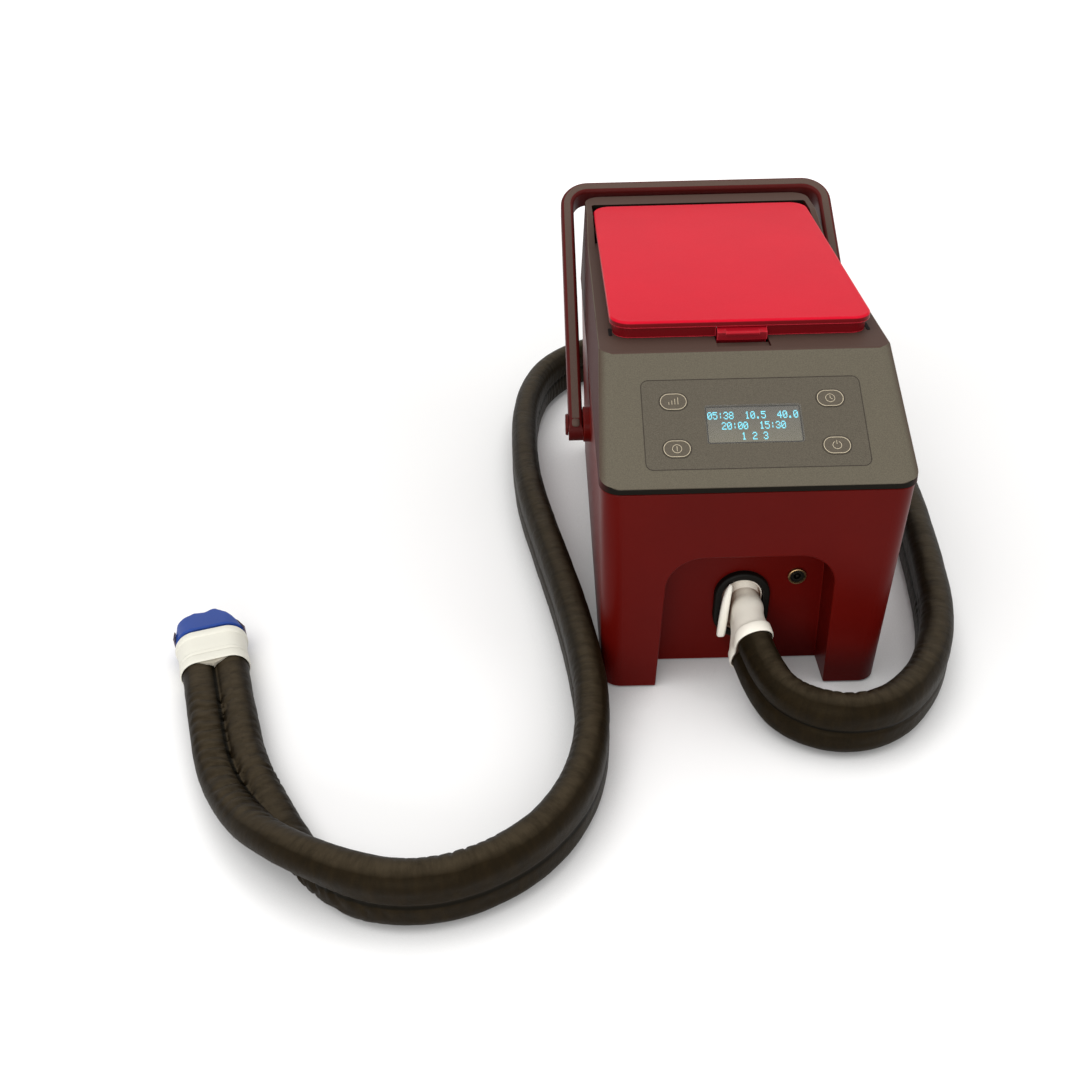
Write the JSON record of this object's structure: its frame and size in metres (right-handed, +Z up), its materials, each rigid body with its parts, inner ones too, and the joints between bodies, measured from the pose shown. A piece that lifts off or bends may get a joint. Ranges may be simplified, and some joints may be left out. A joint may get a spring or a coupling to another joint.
{
  "type": "hot cold therapy machine",
  "caption": "Tabletop water console with sloping key panel, hinged filling lid, folding bail handle, arched port recess and an insulated twin hose that ends in a quick coupler.",
  "frame": {"origin": "on the floor, under the middle of the console with its folded handle", "axes": "+Z up, the front with its key panel and hose port faces -Y, +X is to the right of a person who faces away from the console's front, so the power inlet lies on the +X side of the port"},
  "size_m": [0.5987, 0.7209, 0.247],
  "materials": {
    "shell_red": "satin dark red moulding",
    "lid_red": "satin bright red moulding",
    "gunmetal": "finely speckled warm grey",
    "overlay_grey": "printed film",
    "key_grey": "satin key caps with pale rims",
    "window_clear": "clear pane",
    "display": "display glass in a dark frame",
    "handle_red": "deep red grip",
    "sleeve": "dark brown insulating sleeve",
    "ivory": "ivory mouldings",
    "blue": "blue release cap",
    "black_plastic": "black moulding",
    "black_rubber": "soft black rubber",
    "steel": "plated steel",
    "brass": "plated brass nut",
    "aluminium": "bare aluminium",
    "board_green": "circuit board",
    "ceramic": "white ceramic",
    "tank_clear": "milky tank",
    "silicone": "soft pale tube"
  },
  "bodies": {
    "console": {"housing": "shell_red", "base_plate": "black_plastic", "rubber_feet": "black_rubber", "base_screws": "steel", "rear_grille": "black_plastic", "top_cover": "gunmetal", "membrane_overlay": "overlay_grey", "lcd_window": "window_clear", "lcd_module": "display", "key_board": "board_green", "key_switches": "black_plastic", "lid_gasket": "silicone", "water_tank": "tank_clear", "port_ring": "black_plastic", "port_socket": "black_plastic", "power_jack": "black_plastic", "jack_nut": "brass", "hose": "sleeve", "hose_riser": "sleeve", "hose_tail": "sleeve", "hose_elbow": "ivory", "coupler_clamp": "ivory", "coupler_collar": "ivory", "heat_sink": "aluminium", "peltier_modules": "ceramic", "cold_plate": "aluminium", "fan_frame": "black_plastic", "fan_screws": "steel", "pump_body": "black_plastic", "main_board": "board_green", "supply_tube": "silicone", "return_tube": "silicone", "tank_tube": "silicone", "handle_pin_left": "black_plastic", "handle_pin_right": "black_plastic"},
    "grip": {"handle": "handle_red", "handle_strip": "gunmetal"},
    "lid": {"lid": "lid_red", "lid_hinge_pins": "steel", "latch_pin": "steel"},
    "catch": {"lid_latch": "shell_red"},
    "zone_key": {"key_zone": "key_grey"},
    "start_key": {"key_start": "key_grey"},
    "timer_key": {"key_timer": "key_grey"},
    "power_key": {"key_power": "key_grey"},
    "release_cap": {"coupler_release": "blue"},
    "elbow_lever": {"elbow_latch": "ivory"},
    "fan": {"fan_rotor": "black_plastic"},
    "impeller": {"pump_impeller": "ivory"}
  },
  "joints": [
    {"name": "handle_swing", "type": "hinge", "parent": "console", "child": "grip", "pos_m": [0, -0.0137, 0.119], "axis": [1, 0, 0], "range_deg": [0, 120]},
    {"name": "lid_open", "type": "hinge", "parent": "console", "child": "lid", "pos_m": [0, 0.1438, 0.2305], "axis": [-1, 0, 0], "range_deg": [0, 95]},
    {"name": "lid_latch_tilt", "type": "hinge", "parent": "lid", "child": "catch", "pos_m": [0, -0.08185, 0.2308], "axis": [-1, 0, 0], "range_deg": [0, 7], "stiffness_Nm_per_rad": 0.05, "springref_deg": -5.73},
    {"name": "zone_key_press", "type": "slide", "parent": "console", "child": "zone_key", "axis": [0, 0.5039, -0.8638], "range_m": [0, 0.0008], "stiffness_N_per_m": 400, "springref_m": -0.0004},
    {"name": "start_key_press", "type": "slide", "parent": "console", "child": "start_key", "axis": [0, 0.5039, -0.8638], "range_m": [0, 0.0008], "stiffness_N_per_m": 400, "springref_m": -0.0004},
    {"name": "timer_key_press", "type": "slide", "parent": "console", "child": "timer_key", "axis": [0, 0.5039, -0.8638], "range_m": [0, 0.0008], "stiffness_N_per_m": 400, "springref_m": -0.0004},
    {"name": "power_key_press", "type": "slide", "parent": "console", "child": "power_key", "axis": [0, 0.5039, -0.8638], "range_m": [0, 0.0008], "stiffness_N_per_m": 400, "springref_m": -0.0004},
    {"name": "coupler_release_press", "type": "slide", "parent": "console", "child": "release_cap", "axis": [0.3073, -0.9516, 0], "range_m": [0, 0.0025], "stiffness_N_per_m": 600, "springref_m": -0.001},
    {"name": "elbow_lever_turn", "type": "hinge", "parent": "console", "child": "elbow_lever", "pos_m": [-0.0106, -0.17319, 0.067], "axis": [0, -1, 0], "range_deg": [0, 3], "stiffness_Nm_per_rad": 0.2, "springref_deg": -2.86},
    {"name": "fan_spin", "type": "hinge", "parent": "console", "child": "fan", "pos_m": [0, 0.1448, 0.098], "axis": [0, 1, 0], "continuous": true},
    {"name": "pump_spin", "type": "hinge", "parent": "console", "child": "impeller", "pos_m": [-0.042, -0.0472, 0.048], "axis": [0, 0, 1], "continuous": true}
  ]
}
